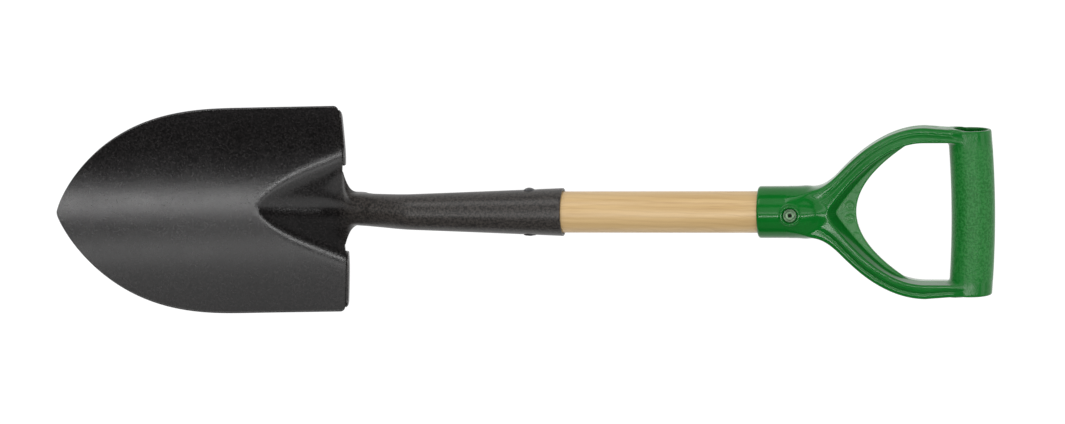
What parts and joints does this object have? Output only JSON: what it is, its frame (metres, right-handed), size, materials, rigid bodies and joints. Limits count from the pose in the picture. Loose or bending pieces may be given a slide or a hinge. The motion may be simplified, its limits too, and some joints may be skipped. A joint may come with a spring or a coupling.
{
  "type": "garden spade",
  "caption": "Short garden spade with a pressed round-point steel blade, rolled open-back socket, wooden shaft and moulded D-handle.",
  "frame": {"origin": "under the middle of the spade, on the level of the lowest point of the blade as it lies on its back", "axes": "+X from the tip of the blade to the grip, along the shaft; +Z out of the hollow face of the blade; +Y across the blade"},
  "size_m": [0.6942, 0.1546, 0.0433],
  "materials": {
    "blade_steel": "black satin paint over pressed steel, faintly textured",
    "shaft_wood": "pale turned hardwood, fine straight grain, clear satin lacquer",
    "handle_plastic": "glossy moulded polypropylene, finely pebbled on the grip",
    "socket_rivet_steel": "steel painted over with the socket, worn on its crown",
    "handle_rivet_steel": "dull plated steel"
  },
  "bodies": {
    "root": {"blade": "blade_steel", "shaft": "shaft_wood", "handle": "handle_plastic", "socket_rivet": "socket_rivet_steel", "socket_rivet_washer": "socket_rivet_steel", "handle_rivet": "handle_rivet_steel", "handle_rivet_washer": "handle_rivet_steel"}
  },
  "joints": []
}
